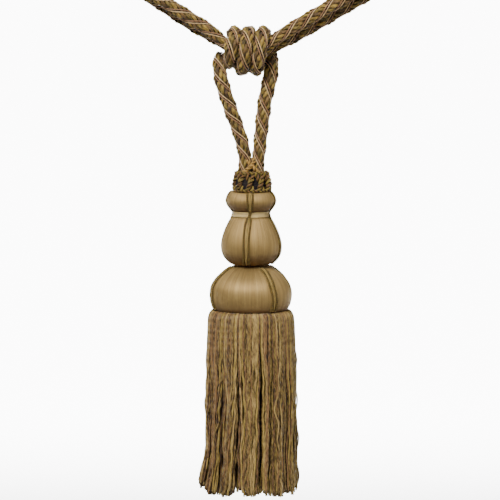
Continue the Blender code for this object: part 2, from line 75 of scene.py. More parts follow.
camera_data = bpy.data.cameras.new("camera")
camera_data.sensor_width = SENSOR_WIDTH
camera_data.lens = SENSOR_WIDTH * CAMERA_DISTANCE / VIEW_WIDTH
camera = bpy.data.objects.new("camera", camera_data)
bpy.context.scene.collection.objects.link(camera)
towards_camera = Vector((0, -math.cos(CAMERA_RISE), math.sin(CAMERA_RISE)))
camera.location = VIEW_MIDDLE + towards_camera * CAMERA_DISTANCE
camera.rotation_euler = (math.pi / 2 - CAMERA_RISE, 0, 0)
bpy.context.scene.camera = camera


def area_light(name, place, size, power, spread):
    """A square soft box that faces the tassel's middle, its grid narrowing it to a spread in degrees."""
    data = bpy.data.lights.new(name, "AREA")
    data.size = size
    data.energy = power
    data.spread = math.radians(spread)
    light = bpy.data.objects.new(name, data)
    bpy.context.scene.collection.objects.link(light)
    light.location = VIEW_MIDDLE + Vector(place)
    light.rotation_euler = (-Vector(place)).to_track_quat("-Z", "Y").to_euler()


area_light("key_light", place=(-0.6, -1.7, 1.75), size=0.8, power=8.5, spread=45)
area_light("fill_light", place=(1.8, -1.4, 0.5), size=0.9, power=1.3, spread=50)
area_light("back_light", place=(0.3, 1.8, 1.2), size=1.2, power=6, spread=180)

ROOM_LIGHT = 0.24
world = bpy.data.worlds.new("studio")
world.use_nodes = True
background = world.node_tree.nodes["Background"]
background.inputs["Color"].default_value = (1, 1, 1, 1)
background.inputs["Strength"].default_value = ROOM_LIGHT
bpy.context.scene.world = world

FLOOR_DROP = 0.30  # below the model's lowest point
FLOOR_REACH = 60  # from the middle to each side
floor_z = model_box[0][2] - FLOOR_DROP
floor_mesh = bpy.data.meshes.new("floor")
floor_mesh.from_pydata([(x * FLOOR_REACH, y * FLOOR_REACH, floor_z)
                        for x, y in ((-1, -1), (1, -1), (1, 1), (-1, 1))], [], [(0, 1, 2, 3)])
floor = bpy.data.objects.new("floor", floor_mesh)
bpy.context.scene.collection.objects.link(floor)

# A long low panel behind the tassel lights the card there almost to white, and nothing else.
PANEL_WIDTH = 9
PANEL_LENGTH = 26
PANEL_START = 1.6  # behind the tassel
PANEL_ABOVE_FLOOR = 1.5
PANEL_SPREAD = math.radians(60)
PANEL_POWER = 9000
panel = bpy.data.lights.new("backdrop_panel", "AREA")
panel.shape = "RECTANGLE"
panel.size = PANEL_WIDTH
panel.size_y = PANEL_LENGTH
panel.spread = PANEL_SPREAD
panel.energy = PANEL_POWER
panel_light = bpy.data.objects.new("backdrop_panel", panel)
panel_light.location = (VIEW_MIDDLE.x, PANEL_START + PANEL_LENGTH / 2, floor_z + PANEL_ABOVE_FLOOR)
bpy.context.scene.collection.objects.link(panel_light)

# ---------------------------------------------------------------- embrace rope
# The embrace is one soft rope laid up left-handed from three thick strands of loose gold, olive and
# brown plies, with two fine silky threads in each groove. It runs double between the eyes, and its
# ends butt inside the left eye's whipping.

GLOSS = 0.3  # specular level of yarn, floss and card


def start_material(name, roughness, sheen):
    """A Principled material with an even roughness and sheen, and its tree and shader to build on."""
    made = bpy.data.materials.new(name)
    made.use_nodes = True
    shader = made.node_tree.nodes["Principled BSDF"]
    shader.inputs["Roughness"].default_value = roughness
    shader.inputs["Sheen Weight"].default_value = sheen
    shader.inputs["Specular IOR Level"].default_value = GLOSS
    return made, made.node_tree, shader


def add_node(tree, kind, inputs=None, **settings):
    """A node with its settings, and its inputs set or linked."""
    made = tree.nodes.new(kind)
    for key, value in settings.items():
        setattr(made, key, value)
    for key, value in (inputs or {}).items():
        if isinstance(value, bpy.types.NodeSocket):
            tree.links.new(value, made.inputs[key])
        else:
            made.inputs[key].default_value = value
    return made


def maths(tree, operation, *values):
    """The result of one sum on sockets and numbers."""
    return add_node(tree, "ShaderNodeMath", dict(enumerate(values)), operation=operation).outputs[0]


def blend(tree, share, first, second):
    """A colour between two, by a share from 0 to 1."""
    made = add_node(tree, "ShaderNodeMix", {0: share}, data_type="RGBA")
    for socket, value in ((made.inputs[6], first), (made.inputs[7], second)):
        if isinstance(value, bpy.types.NodeSocket):
            tree.links.new(value, socket)
        else:
            socket.default_value = (*value, 1)
    return made.outputs[2]


DYE_PATCHES = 230  # a metre
DYE_VARIETY = 9  # how far apart in the dye's pattern yarns of different shades are taken
FUZZ_GRAIN = 2600  # a metre
SHADE_SHARE = 0.6  # of a yarn's own shade in its tone
FIBRE_SHARE = 0.25  # of its slanting fibres, painted darker between them as shade
TONE_LIFT = 0.08
LIT_FROM = 0.75  # cosine of the turn from the outward side, above which yarn has no painted shade
CREVICE_SHADE_SHARE = 0.25  # of the dark dye's colour kept in the painted shade of a crevice


def yarn_material(name, dark, light, fibres=5, lay=0.004, roughness=0.62, sheen=0.06, depth=0.00025,
                  crevice=0.15, mottle=1.5, shaded=-0.3):
    """Spun yarn: fibres slant round it, painted darker between them as shade, and its dye varies along it.
    Its sides turned inward are painted darker and lose gloss and sheen, as painted shade.

    lay is the length of a fibre's full turn and depth the relief of the fibres, both in metres. crevice is
    the share of colour, gloss and sheen left in that painted shade on a side turned inward, which begins
    where the cosine of the turn falls to shaded.
    """
    made, tree, shader = start_material(name, roughness, sheen)
    turn = add_node(tree, "ShaderNodeSeparateXYZ", {
        "Vector": add_node(tree, "ShaderNodeUVMap", uv_map="yarn").outputs["UV"]})
    around = maths(tree, "MULTIPLY", turn.outputs["X"], fibres * math.tau)
    along = maths(tree, "MULTIPLY", turn.outputs["Y"], math.tau / lay)
    fibre = maths(tree, "SINE", maths(tree, "ADD", around, along))
    fibre = maths(tree, "MULTIPLY_ADD", fibre, 0.5, 0.5)
    place = add_node(tree, "ShaderNodeTexCoord").outputs["Object"]
    shade = add_node(tree, "ShaderNodeAttribute", attribute_name="shade").outputs["Fac"]
    dye = add_node(tree, "ShaderNodeTexNoise", {
        "Vector": place, "W": maths(tree, "MULTIPLY", shade, DYE_VARIETY), "Scale": DYE_PATCHES,
        "Detail": 3}, noise_dimensions="4D").outputs["Fac"]
    fuzz = add_node(tree, "ShaderNodeTexNoise", {
        "Vector": place, "Scale": FUZZ_GRAIN, "Detail": 2}).outputs["Fac"]
    tone = maths(tree, "MULTIPLY", shade, SHADE_SHARE)
    tone = maths(tree, "ADD", tone, maths(tree, "MULTIPLY", dye, mottle))
    tone = maths(tree, "ADD", tone, maths(tree, "MULTIPLY", fibre, FIBRE_SHARE))
    tone = maths(tree, "SUBTRACT", tone, mottle / 2 - TONE_LIFT)
    clamped = add_node(tree, "ShaderNodeClamp", {"Value": tone}).outputs[0]
    facing = maths(tree, "COSINE", maths(tree, "MULTIPLY", turn.outputs["X"], math.tau))
    painted_light = add_node(tree, "ShaderNodeMapRange", {
        "Value": facing, "From Min": shaded, "From Max": LIT_FROM, "To Min": crevice, "To Max": 1.0},
        interpolation_type="SMOOTHSTEP").outputs["Result"]
    # painted shade: gloss, sheen and colour drop on a yarn's sides turned inward
    tree.links.new(maths(tree, "MULTIPLY", painted_light, GLOSS), shader.inputs["Specular IOR Level"])
    if sheen:
        tree.links.new(maths(tree, "MULTIPLY", painted_light, sheen), shader.inputs["Sheen Weight"])
    painted_crevice_shade = tuple(channel * CREVICE_SHADE_SHARE for channel in dark)
    tree.links.new(blend(tree, painted_light, painted_crevice_shade, blend(tree, clamped, dark, light)), shader.inputs["Base Color"])
    height = maths(tree, "ADD", fibre, maths(tree, "MULTIPLY", fuzz, 0.8))
    bump = add_node(tree, "ShaderNodeBump", {"Height": height, "Strength": 0.6, "Distance": depth})
    tree.links.new(bump.outputs["Normal"], shader.inputs["Normal"])
    return made


def unit(rows):
    """Rows of vectors, each made one long."""
    return rows / np.linalg.norm(rows, axis=-1, keepdims=True)


def distances(centres):
    """The distance of each point along a line of points."""
    steps = np.linalg.norm(np.diff(centres, axis=0), axis=1)
    return np.concatenate([[0], np.cumsum(steps)])


def across_line(centres, outward):
    """Two directions across a line of points: outward, made square to the line, and the one beside it."""
    ahead = unit(np.gradient(centres, axis=0))
    up = unit(outward - ahead * (outward * ahead).sum(1, keepdims=True))
    return up, np.cross(ahead, up)


def swung(first, second, angles):
    """The direction at each point's angle from the first direction towards the second."""
    return first * np.cos(angles)[:, None] + second * np.sin(angles)[:, None]


class Yarns:
    """Round yarns gathered into one mesh, each swept along its own centres."""

    def __init__(self):
        self.points, self.quads, self.ends = [], [], []
        self.turns, self.end_turns = [], []
        self.shades, self.finishes, self.end_finishes = [], [], []
        self.size = 0

    def add(self, centres, outward, radii, sides, shade, finish=0):
        """A yarn through an array of centres; the turn round it is counted from outward."""
        count = len(centres)
        radii = np.broadcast_to(np.asarray(radii, float), (count,))
        along = distances(centres)
        up, beside = across_line(centres, outward)
        angles = math.tau * np.arange(sides) / sides
        ring = up[:, None] * np.cos(angles)[None, :, None] + beside[:, None] * np.sin(angles)[None, :, None]
        self.points.append((centres[:, None] + ring * radii[:, None, None]).reshape(-1, 3))
        row = np.arange(count - 1)[:, None] * sides + self.size
        here = np.arange(sides)[None]
        after = (here + 1) % sides
        quads = np.stack([row + here, row + after, row + sides + after, row + sides + here], -1)
        self.quads.append(quads.reshape(-1, 4))
        turn = np.broadcast_to(np.arange(sides) / sides, (count - 1, sides))
        near = np.broadcast_to(along[:-1, None], (count - 1, sides))
        far = np.broadcast_to(along[1:, None], (count - 1, sides))
        width = 1 / sides
        corners = [(turn, near), (turn + width, near), (turn + width, far), (turn, far)]
        self.turns.append(np.stack([np.stack(corner, -1) for corner in corners], 2).reshape(-1, 2))
        self.finishes.append(np.full((count - 1) * sides, finish))
        for first, order in ((self.size, -1), (self.size + (count - 1) * sides, 1)):
            self.ends.append(list(range(first, first + sides))[::order])
            self.end_turns.append(np.zeros((sides, 2)))
            self.end_finishes.append(finish)
        self.shades.append(np.full(count * sides, shade))
        self.size += count * sides

    def as_object(self, name, finishes):
        """The gathered yarns as one smooth-shaded object."""
        mesh = bpy.data.meshes.new(name)
        faces = np.concatenate(self.quads).tolist() + self.ends
        mesh.from_pydata(np.concatenate(self.points).tolist(), [], faces)
        coords = mesh.uv_layers.new(name="yarn")
        coords.data.foreach_set("uv", np.concatenate(self.turns + self.end_turns).ravel())
        shade = mesh.attributes.new("shade", "FLOAT", "POINT")
        shade.data.foreach_set("value", np.concatenate(self.shades))
        for finish in finishes:
            mesh.materials.append(finish)
        mesh.polygons.foreach_set("material_index", np.concatenate(
            self.finishes + [self.end_finishes]).astype(np.int32))
        mesh.shade_smooth()
        made = bpy.data.objects.new(name, mesh)
        bpy.context.scene.collection.objects.link(made)
        return made


def between(t, first_t, second_t, first, second):
    """The row at t on the straight line through two rows."""
    return (second_t - t) / (second_t - first_t) * first + (t - first_t) / (second_t - first_t) * second


def smooth_curve(points, samples_per_span=16):
    """A Catmull-Rom curve through rows of numbers, spaced by the root of the chord's length."""
    rows = np.array(points, float)
    rows = np.vstack([2 * rows[0] - rows[1], rows, 2 * rows[-1] - rows[-2]])
    steps = np.linalg.norm(np.diff(rows[:, :3], axis=0), axis=1) ** 0.5
    knots = np.concatenate([[0], np.cumsum(steps)])
    out = []
    for k in range(1, len(rows) - 2):
        t0, t1, t2, t3 = knots[k - 1:k + 3]
        p0, p1, p2, p3 = rows[k - 1:k + 3]
        for t in np.linspace(t1, t2, samples_per_span, endpoint=False):
            middle = between(t, t1, t2, p1, p2)
            before = between(t, t0, t2, between(t, t0, t1, p0, p1), middle)
            after = between(t, t1, t3, middle, between(t, t2, t3, p2, p3))
            out.append(between(t, t1, t2, before, after))
    out.append(rows[-2])
    return np.array(out)


def even_steps(rows, step):
    """The same curve with points about one step apart, and their distances along it."""
    along = distances(rows[:, :3])
    count = max(2, round(along[-1] / step) + 1)
    wanted = np.linspace(0, along[-1], count)
    return np.stack([np.interp(wanted, along, column) for column in rows.T], 1), wanted


ROPE_DIAMETER = 10.7 * MM
ROPE_LAY = 43 * MM  # length of one full turn of a strand
EMBRACE_LAY = 49 * MM  # drawn out a little by the curtain's pull
EASING_STEP = 1.5 * MM  # the points listed are eased at this spacing
EASING_ROUNDS = 6
YARN_STEP = 1.1 * MM
STRANDS = 3
STRAND_OFFSET = 3.0 * MM  # from the rope's line to a strand's
PLIES = 3
PLY_OFFSET = 1.4 * MM  # from the strand's line to a ply's
PLY_RADIUS = 1.52 * MM
PLY_LAY = 9.5 * MM
PLY_SWELL = 0.07  # share by which a ply swells and thins along its length
SWELL_RATE = 900  # radians a metre
PLY_OWN_SIDE = 0.45  # weight of a ply's outward side against its strand's, in where the ply's painted shade falls
THREAD_RADIUS = 0.46 * MM
THREAD_OFFSET = 4.6 * MM
THREAD_SPREAD = math.radians(12.5)  # each side of a groove

# crevice and shaded set the painted shade on the plies' sides turned inward
PLY_LOOK = {"depth": 0.0004, "crevice": 0.06, "mottle": 3.0, "shaded": 0.0}
THREAD_LOOK = {"fibres": 2, "lay": 0.003, "roughness": 0.38, "sheen": 0.05}
GOLD_PLY = yarn_material("gold_ply", (0.055, 0.028, 0.005), (0.36, 0.228, 0.044), **PLY_LOOK)
BROWN_PLY = yarn_material("brown_ply", (0.03, 0.0145, 0.004), (0.187, 0.106, 0.029), **PLY_LOOK)
OLIVE_PLY = yarn_material("olive_ply", (0.035, 0.022, 0.004), (0.25, 0.168, 0.034), **PLY_LOOK)
CREAM_THREAD = yarn_material("cream_thread", (0.30, 0.175, 0.075), (0.66, 0.45, 0.22), **THREAD_LOOK)
ROSE_THREAD = yarn_material("rose_thread", (0.17, 0.08, 0.035), (0.44, 0.25, 0.13), **THREAD_LOOK)
ROPE_FINISHES = [GOLD_PLY, BROWN_PLY, OLIVE_PLY, CREAM_THREAD, ROSE_THREAD]


def laid_line(route, step):
    """A rope's own line: centres, fullness, distance along it, and two directions across it."""
    rows, _ = even_steps(smooth_curve(route), EASING_STEP)
    for _ in range(EASING_ROUNDS):
        rows[1:-1] = (rows[:-2] + 2 * rows[1:-1] + rows[2:]) / 4
    rows, along = even_steps(rows, step)
    centres = rows[:, :3] + np.array(KNOT)
    ahead = unit(np.gradient(centres, axis=0))
    side = np.zeros_like(centres)
    side[0] = Vector(ahead[0]).orthogonal().normalized()
    for k in range(1, len(centres)):
        turned = side[k - 1] - ahead[k] * (side[k - 1] @ ahead[k])
        side[k] = turned / np.linalg.norm(turned)
    return centres, rows[:, 3], along, side, np.cross(ahead, side)


def three_strand_rope(name, route, lay):
    """The plies of three strands, each strand turned against the rope, and two threads in each groove."""
    yarns = Yarns()
    centres, fullness, along, side, across = laid_line(route, YARN_STEP)
    thickness = fullness[:, None]
    for strand in range(STRANDS):
        turn = math.tau * (strand / STRANDS - along / lay)
        outward = swung(side, across, turn)
        sideways = swung(across, -side, turn)
        middle = centres + outward * thickness * STRAND_OFFSET
        for ply in range(PLIES):
            phase = math.tau * (ply / PLIES + strand / 7 + along / PLY_LAY)
            offset = swung(outward, sideways, phase)
            swell = 1 + PLY_SWELL * np.sin(along * SWELL_RATE + 2 * ply + strand)
            yarns.add(middle + offset * thickness * PLY_OFFSET, outward + offset * PLY_OWN_SIDE,
                      PLY_RADIUS * fullness * swell, sides=7,
                      shade=0.35 + 0.15 * ((ply + strand) % PLIES), finish=ply)
        for thread, (spread, shade) in enumerate(((-THREAD_SPREAD, 0.75), (THREAD_SPREAD, 0.35))):
            outward = swung(side, across, turn + math.pi / STRANDS + spread)
            yarns.add(centres + outward * thickness * THREAD_OFFSET, outward, THREAD_RADIUS, sides=5,
                      shade=shade, finish=PLIES + thread)
    return yarns.as_object(name, ROPE_FINISHES), centres


EYE_BEND_RADIUS = 21.4 * MM
EYE_BEND_POINTS = 7
EYE_TAPER = 52 * MM  # from the whipping to the bend
WHIPPING_LENGTH = 9 * MM


class Arm:
    """One arm of the doubled rope past the knot: its middle line and the pair's offset across it.

    front_lift and front_depth are how much higher and further forward the front run lies than the rear one.
    """

    def __init__(self, side, root, rise, front_lift, front_depth, whipping_start):
        self.along = Vector((side * math.cos(rise), 0, math.sin(rise)))
        lift = Vector((-side * math.sin(rise), 0, math.cos(rise)))
        self.root = Vector((root[0], 0, root[1]))
        self.to_front = (lift * front_lift - Vector((0, front_depth, 0))) / 2  # half of the pair's offset
        self.whipping_start = whipping_start
        self.eye_start = whipping_start + WHIPPING_LENGTH

    def place(self, distance, spread):
        """A point at a distance along the arm, and off its middle line towards the front run."""
        return self.root + self.along * distance + self.to_front.normalized() * spread

    def run(self, sign):
        """The straight run's points at the whipping, for the front (+1) or rear (-1) rope."""
        spread = sign * self.to_front.length
        return [self.place(d, spread) for d in (0, self.whipping_start, self.eye_start)]

    def eye(self):
        """The teardrop bight, from the rear run round to the front run."""
        half_pair = self.to_front.length
        opening = EYE_BEND_RADIUS - half_pair
        rear = []
        for share in (0.25, 0.5, 0.75):
            swell = 3 * share ** 2 - 2 * share ** 3
            rear.append((self.eye_start + share * EYE_TAPER, -half_pair - swell * opening))
        bend = []
        for k in range(EYE_BEND_POINTS):
            angle = math.pi * (k / (EYE_BEND_POINTS - 1) - 0.5)
            bend.append((self.eye_start + EYE_TAPER + EYE_BEND_RADIUS * math.cos(angle),
                         EYE_BEND_RADIUS * math.sin(angle)))
        front = [(distance, -spread) for distance, spread in reversed(rear)]
        return [self.place(distance, spread) for distance, spread in rear + bend + front]


LEFT_ARM = Arm(side=-1, root=(-71.2 * MM, 39.3 * MM), rise=math.radians(32), front_lift=3.4 * MM,
               front_depth=10.6 * MM, whipping_start=12 * MM)
RIGHT_ARM = Arm(side=1, root=(76.6 * MM, 39.3 * MM), rise=math.radians(30), front_lift=6.4 * MM,
                front_depth=9.2 * MM, whipping_start=16 * MM)
SQUEEZE = 0.76  # the rope's fullness under a whipping
SQUEEZE_RUN = 2 * MM  # before the whipping, where the squeeze begins
BUTT_GAP = 0.8 * MM  # between the rope's two ends

REAR_RUN = (
    # x, y, z in mm from the knot's middle, and fullness
    (-47.4, 5.2, 21.4, 1), (-30.3, 5.3, 11.3, 0.98), (-21.7, 5.8, 6.1, 0.88), (-14.7, 5.5, 1.6, 0.83),
    (-7.6, 4.9, -1.0, 0.82), (0.2, 4.8, -2.1, 0.82), (7.2, 4.7, -1.6, 0.82), (13.4, 4.8, 0.5, 0.84),
    (20.4, 4.7, 4.3, 0.93), (38.4, 4.4, 13.6, 1),
)
FRONT_RUN = (
    # x, y, z in mm from the knot's middle, and fullness
    (38.4, -4.5, 21.2, 1), (20.4, -4.3, 10.1, 0.9), (13.4, -3.7, 4.8, 0.81), (7.2, -3.4, 3.3, 0.81),
    (0.2, -3.2, 2.8, 0.81), (-7.6, -3.4, 3.0, 0.81), (-14.7, -3.5, 3.7, 0.81), (-21.7, -4.0, 7.1, 0.83),
    (-30.3, -5.3, 14.9, 0.97), (-47.4, -5.3, 25.6, 1),
)


def in_metres(table):
    """A rope's points in metres, with their fullness as it is."""
    return [(x * MM, y * MM, z * MM, fullness) for x, y, z, fullness in table]


def full(points):
    """Points of a straight or bent run where the rope has its whole thickness."""
    return [(*point, 1) for point in points]


def whipped(arm, sign):
    """One straight run's points, where the whipping squeezes the rope."""
    root, *bound = arm.run(sign)
    before = arm.place(arm.whipping_start - SQUEEZE_RUN, sign * arm.to_front.length)
    return full([root, before]) + [(*point, SQUEEZE) for point in bound]


butt = LEFT_ARM.whipping_start + WHIPPING_LENGTH / 2 - BUTT_GAP / 2
embrace_ends = [LEFT_ARM.place(butt + gap, -LEFT_ARM.to_front.length) for gap in (0, BUTT_GAP)]
embrace_route = (
    [(*embrace_ends[0], SQUEEZE)] + whipped(LEFT_ARM, -1)[1::-1] + in_metres(REAR_RUN)
    + whipped(RIGHT_ARM, -1) + full(RIGHT_ARM.eye()) + whipped(RIGHT_ARM, 1)[::-1] + in_metres(FRONT_RUN)
    + whipped(LEFT_ARM, 1) + full(reversed(LEFT_ARM.eye()))
    + [(*LEFT_ARM.run(-1)[2], SQUEEZE), (*embrace_ends[1], SQUEEZE)]
)
embrace, embrace_line = three_strand_rope("embrace_rope_yarns", embrace_route, EMBRACE_LAY)
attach(embrace, "root")
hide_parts("embrace_rope")

# ---------------------------------------------------------------- tassel rope
# A second length of the same rope carries the tassel. From the head it goes up the right leg, takes
# three full turns round the embrace, and comes down the left leg into the head again.

KNOT_TURNS = 3
POINTS_PER_TURN = 8
KNOT_PITCH = 11.2  # mm, as in the tables below
KNOT_HALF_HEIGHT = 14.4
KNOT_HALF_DEPTH = 17.3
KNOT_RIGHT_TOP_X = 9.7
KNOT_FULLNESS = 1.02
RIGHT_LEG = (
    # x, y, z in mm from the knot's middle, and fullness
    (5.5, 0, -109.3, 0.92), (5.4, 0, -101.0, 0.92), (5.35, 0, -92.0, 0.92), (6.3, 0, -81.0, 0.96),
    (8.4, 0, -60.4, 1.03), (9.4, 0, -51.8, 1.05), (11.2, 0, -37.3, 1.07), (14.4, 0.3, -24.5, 1.1),
    (15.6, 2.4, -16.0, 1.16), (15.9, 8.6, -9.4, 1.12), (15.6, 14.6, -3.6, 0.97), (13.2, 17.2, 3.6, 0.97),
)
LEFT_LEG = (
    # x, y, z in mm from the knot's middle, and fullness
    (-16.2, -14.6, -5.4, 0.95), (-16.4, -7.0, -8.9, 0.9), (-16.7, 2.0, -9.8, 0.84), (-17.8, 9.0, -9.9, 0.82),
    (-19.2, 14.8, -9.2, 0.82), (-21.6, 17.8, -6.4, 0.82), (-24.2, 14.6, -5.0, 0.86), (-24.9, 9.4, -8.0, 0.93),
    (-24.6, 4.8, -13.0, 0.99), (-23.7, 1.8, -18.6, 1.03), (-22.4, 0.5, -24.4, 1.04), (-18.5, 0, -37.3, 1.03),
    (-13.4, 0, -51.8, 1.02), (-10.1, 0, -60.4, 1.01), (-4.7, 0, -81.0, 0.96), (-4.85, 0, -92.0, 0.92),
    (-5.0, 0, -101.0, 0.92), (-5.2, 0, -109.3, 0.92),
)
knot_points = []
for k in range(-1, POINTS_PER_TURN * (KNOT_TURNS - 1) + 3):  # the legs' points make the rest of the turns
    turn = k / POINTS_PER_TURN
    knot_points.append((KNOT_RIGHT_TOP_X - KNOT_PITCH * turn, -KNOT_HALF_DEPTH * math.sin(math.tau * turn),
                        KNOT_HALF_HEIGHT * math.cos(math.tau * turn), KNOT_FULLNESS))
tassel_route = in_metres((*RIGHT_LEG, *knot_points, *LEFT_LEG))
tassel_rope, tassel_line = three_strand_rope("tassel_rope_yarns", tassel_route, ROPE_LAY)
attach(tassel_rope, "root")
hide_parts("tassel_rope")

# ---------------------------------------------------------------- whippings
# A whipping of strong brown thread closes the throat of each eye. It is wound tight round both runs
# of the embrace, turn against turn.

WHIPPING_THREAD = yarn_material("whipping_thread", (0.04, 0.018, 0.005), (0.24, 0.13, 0.03),
                                fibres=3, lay=0.003)
WHIPPING_TURNS = 12
WHIPPING_POINTS = 40  # a turn
WHIPPING_THREAD_RADIUS = WHIPPING_LENGTH / WHIPPING_TURNS / 2
WHIPPING_PRESS = 1.08  # the turns press a little into one another
WHIPPING_STAND_OFF = 1.2 * MM  # from the rope's full radius to the thread's line
FLAT_SIDES = 3  # how nearly straight the oval's two long sides are


def whipping(name, arm, node):
    """One thread wound along an oval that fits the two runs."""
    reach = arm.to_front.length
    across = arm.to_front.normalized()
    other = arm.along.cross(across)
    radius = ROPE_DIAMETER / 2 + WHIPPING_STAND_OFF
    count = WHIPPING_TURNS * WHIPPING_POINTS
    rows, outward = [], []
    for k in range(count + 1):
        angle = math.tau * k / WHIPPING_POINTS
        round_end = across * math.cos(angle) + other * math.sin(angle)
        distance = arm.whipping_start + WHIPPING_THREAD_RADIUS
        distance += (WHIPPING_LENGTH - 2 * WHIPPING_THREAD_RADIUS) * k / count
        lean = math.tanh(FLAT_SIDES * math.cos(angle))
        rows.append(KNOT + arm.place(distance, reach * lean) + round_end * radius)
        outward.append(round_end)
    yarns = Yarns()
    yarns.add(np.array(rows), np.array(outward), WHIPPING_THREAD_RADIUS * WHIPPING_PRESS, sides=6, shade=0.5)
    made = yarns.as_object(name, [WHIPPING_THREAD])
    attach(made, "root")
    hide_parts(node)


whipping("left_whipping_thread", LEFT_ARM, "left_eye_whipping")
whipping("right_whipping_thread", RIGHT_ARM, "right_eye_whipping")

# ---------------------------------------------------------------- ruff
# The ruff hides where the rope's legs enter the head. Ten two-ply cords climb each way round it and
# are plaited over and under, over a near-black cord wound round the neck: painted shade that shows
# through the gaps between them.

RUFF_OUTLINE = (
    # radius, height in mm from the knot's middle
    (12.4, -93.3), (13.1, -94.6), (14.1, -97.4), (14.9, -100.2), (15.2, -103.0), (15.3, -105.8),
    (15.2, -108.2), (14.8, -109.3),
)
RUFF_SHIFT = 0.9 * MM  # the ruff sits a little to the right of the mould's axis
RUFF_CORDS = 10  # each way
RUFF_HALF_WAVES = 1.6  # from its top to its foot
RUFF_START = math.radians(11.5)
RUFF_CROSSING_Z = -102.5 * MM  # a row of crossings, with a hollow each side of the front one
RUFF_WEAVE = 0.7 * MM  # how far a cord rises over and dips under the others
RUFF_CORD_POINTS = 44
CORD_TOP_GAP = 1.0 * MM  # below the ruff's top
CORD_FOOT_GAP = 1.2 * MM  # above its foot
RUFF_CORD_INSET = 1.5 * MM  # from the ruff's outline to a cord's line
RUFF_CORD_RADIUS = 0.98 * MM  # of each of a cord's two plies
RUFF_CORD_LAY = 7 * MM
PLY_SPACING = 0.82  # from a two-ply cord's line to a ply's, in radii of the ply
CORD_SIDES = 7
RIM_POINTS = 90
RIM_GAP = 1.1 * MM  # from the ruff's top or foot
TOP_RIM_INSET = 1.5 * MM
FOOT_RIM_INSET = 1.3 * MM
RIM_CORD_RADIUS = 0.8 * MM
RIM_CORD_LAY = 6 * MM
# the near-black cord under the ruff, painted shade for its gaps
LINING_TURNS = 11
LINING_POINTS = 40  # a turn
LINING_TOP_GAP = 0.6 * MM
LINING_SHORTER = 1.4 * MM  # than the ruff
LINING_INSET = 3.4 * MM
LINING_RADIUS = 0.95 * MM
TIE_LINES = (
    # x, y, z in mm from the knot's middle: two cords that cross where the legs meet
    ((-6.5, -7.2, -94.6), (-3.2, -7.9, -92.2), (0.6, -7.4, -88.6), (2.6, -5.4, -85.6), (2.4, -2.0, -83.6)),
    ((-2.2, -3.4, -85.2), (-0.9, -5.6, -87.4), (2.2, -7.8, -90.6), (6.0, -7.6, -94.2), (8.0, -6.8, -96.4)),
)
TIE_RADIUS = 1.0 * MM
TIE_LAY = 6 * MM
TIE_STEP = 0.8 * MM
FILLER_ENDS = ((0.4, -0.5, -96.0), (0.6, -0.5, -83.6))  # a brown yarn between the legs
FILLER_RADIUS = 1.5 * MM

CORD_LOOK = {"fibres": 4, "lay": 0.003}
OLIVE_CORD = yarn_material("ruff_olive_cord", (0.04, 0.025, 0.004), (0.28, 0.19, 0.03), **CORD_LOOK)
BROWN_CORD = yarn_material("ruff_brown_cord", (0.025, 0.011, 0.003), (0.20, 0.10, 0.025), **CORD_LOOK)
# a near-black cord, standing in for the shade seen through the gaps between the ruff's cords
SHADE_LINING_CORD = yarn_material("ruff_shade_lining_cord", (0.004, 0.002, 0.002), (0.014, 0.008, 0.007),
                            roughness=0.8, sheen=0, **CORD_LOOK)
TIE_CORD = yarn_material("ruff_tie_cord", (0.10, 0.05, 0.010), (0.44, 0.25, 0.06), **CORD_LOOK)
OLIVE, BROWN, SHADE_LINING, TIE = range(4)  # places in the ruff's list of finishes


def two_ply_cord(yarns, centres, outward, radius, lay, sides, shade, finishes):
    """Two plies turned round one line, each with its own finish."""
    up, beside = across_line(centres, outward)
    for ply, finish in enumerate(finishes):
        offset = swung(up, beside, math.tau * (distances(centres) / lay + ply / 2))
        yarns.add(centres + offset * radius * PLY_SPACING, offset, radius, sides, shade + 0.12 * ply, finish)


def round_axis(radii, angles, heights):
    """Points round the tassel's axis, at heights from the knot's middle, and their outward directions."""
    outward = np.stack([np.cos(angles), np.sin(angles), np.zeros_like(angles)], 1)
    points = outward * np.asarray(radii)[:, None]
    points[:, 2] = heights
    return points + np.array(KNOT), outward


ruff_radii, ruff_heights = np.array(RUFF_OUTLINE).T * MM
ruff_top, ruff_foot = ruff_heights[0], ruff_heights[-1]


def ruff_radius(heights):
    """The ruff's radius at heights from the knot's middle."""
    return np.interp(-heights, -ruff_heights, ruff_radii)


chance = np.random.default_rng(23)
ruff_yarns = Yarns()
heights = np.linspace(ruff_top - CORD_TOP_GAP, ruff_foot + CORD_FOOT_GAP, RUFF_CORD_POINTS)
climb = math.pi * RUFF_HALF_WAVES / (ruff_top - ruff_foot) * (heights - RUFF_CROSSING_Z)
for cord in range(RUFF_CORDS):
    for way in (1, -1):
        angles = RUFF_START + (way * climb + math.tau * cord) / RUFF_CORDS
        weave = way * np.cos(climb) * RUFF_WEAVE
        line, outward = round_axis(ruff_radius(heights) - RUFF_CORD_INSET + weave, angles, heights)
        line[:, 0] += RUFF_SHIFT
        two_ply_cord(ruff_yarns, line, outward, RUFF_CORD_RADIUS, RUFF_CORD_LAY, CORD_SIDES,
                     chance.uniform(0.2, 0.8), (OLIVE, BROWN))

for height, inset in ((ruff_top - RIM_GAP, TOP_RIM_INSET), (ruff_foot + RIM_GAP, FOOT_RIM_INSET)):
    heights = np.full(RIM_POINTS, height)
    line, outward = round_axis(ruff_radius(heights) - inset, np.linspace(0, math.tau, RIM_POINTS), heights)
    line[:, 0] += RUFF_SHIFT
    two_ply_cord(ruff_yarns, line, outward, RIM_CORD_RADIUS, RIM_CORD_LAY, CORD_SIDES, 0.5, (OLIVE, BROWN))

# the near-black cord wound round the neck, painted shade seen through the ruff's gaps
winding = np.linspace(0, 1, LINING_TURNS * LINING_POINTS)
heights = ruff_top - LINING_TOP_GAP - winding * (ruff_top - ruff_foot - LINING_SHORTER)
line, outward = round_axis(ruff_radius(heights) - LINING_INSET, winding * math.tau * LINING_TURNS, heights)
ruff_yarns.add(line, outward, LINING_RADIUS, sides=6, shade=0.5, finish=SHADE_LINING)

